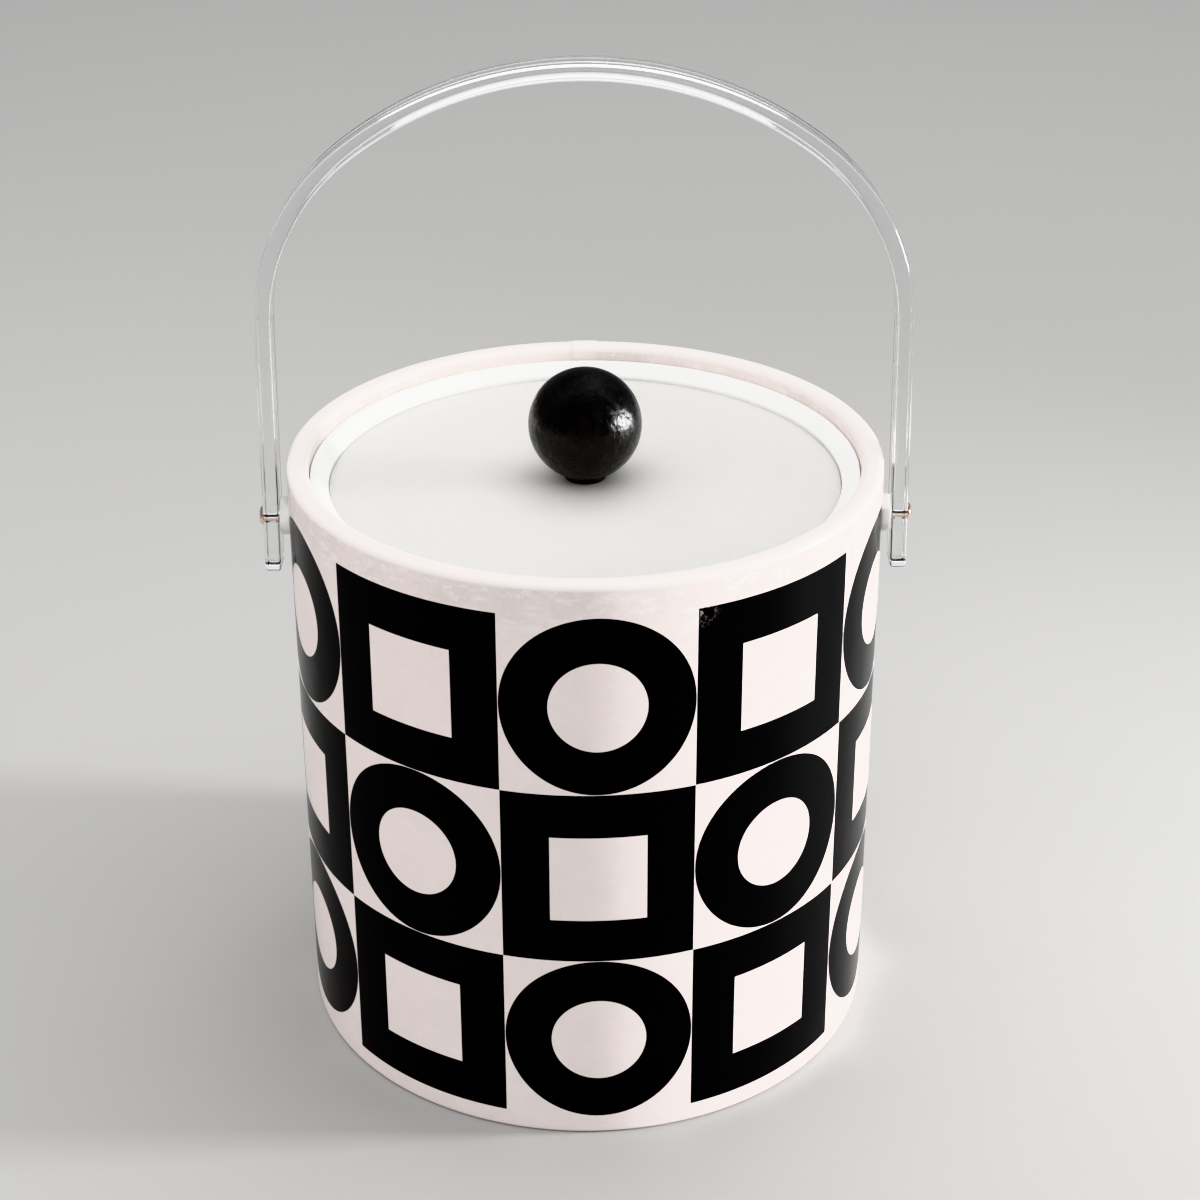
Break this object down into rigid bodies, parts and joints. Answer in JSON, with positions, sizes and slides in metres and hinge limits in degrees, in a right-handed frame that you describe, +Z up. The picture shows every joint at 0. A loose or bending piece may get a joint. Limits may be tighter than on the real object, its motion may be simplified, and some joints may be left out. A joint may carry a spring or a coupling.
{
  "type": "ice bucket",
  "caption": "Round insulated ice bucket with a geometric printed vinyl cover, white moulded liner, frosted lift-off lid with a ball knob, and a clear arched bail handle.",
  "frame": {"origin": "middle of the footprint, on the surface that the bucket stands on", "axes": "+Z up; +X along the line of the bail's two pivots; the front faces -Y"},
  "size_m": [0.2216, 0.2, 0.34],
  "materials": {
    "printed_vinyl": "glossy coated vinyl, warm white with a black print of square frames and rings",
    "white_plastic": "white moulded plastic, satin",
    "fibreboard": "grey-brown pressed board, matt",
    "foam": "white foam, matt",
    "nylon": "translucent white nylon",
    "screw_metal": "plated brass, polished",
    "steel": "zinc plated steel",
    "clear_acrylic": "clear polished acrylic",
    "frosted_acrylic": "frosted translucent acrylic",
    "black_wood": "turned wood, black satin lacquer"
  },
  "bodies": {
    "bucket": {"vinyl_wrap": "printed_vinyl", "shell_core": "fibreboard", "rim_ring": "fibreboard", "liner": "white_plastic", "base_plate": "fibreboard", "insulation_sleeve": "foam", "insulation_disc": "foam", "pivot_spacer_right": "nylon", "pivot_washer_right": "steel", "pivot_nut_right": "steel", "pivot_screw_right": "screw_metal", "pivot_spacer_left": "nylon", "pivot_washer_left": "steel", "pivot_nut_left": "steel", "pivot_screw_left": "screw_metal"},
    "bail": {"bail_handle": "clear_acrylic"},
    "lid": {"lid_disc": "frosted_acrylic", "knob_collar": "black_wood", "knob_ball": "black_wood", "knob_washer": "steel", "knob_screw": "steel"}
  },
  "joints": [
    {"name": "bail_swing", "type": "hinge", "parent": "bucket", "child": "bail", "pos_m": [0, 0, 0.1826], "axis": [1, 0, 0], "range_deg": [-134, 134]},
    {"name": "lid_lift", "type": "slide", "parent": "bucket", "child": "lid", "axis": [0, 0, 1], "range_m": [0, 0.06]}
  ]
}
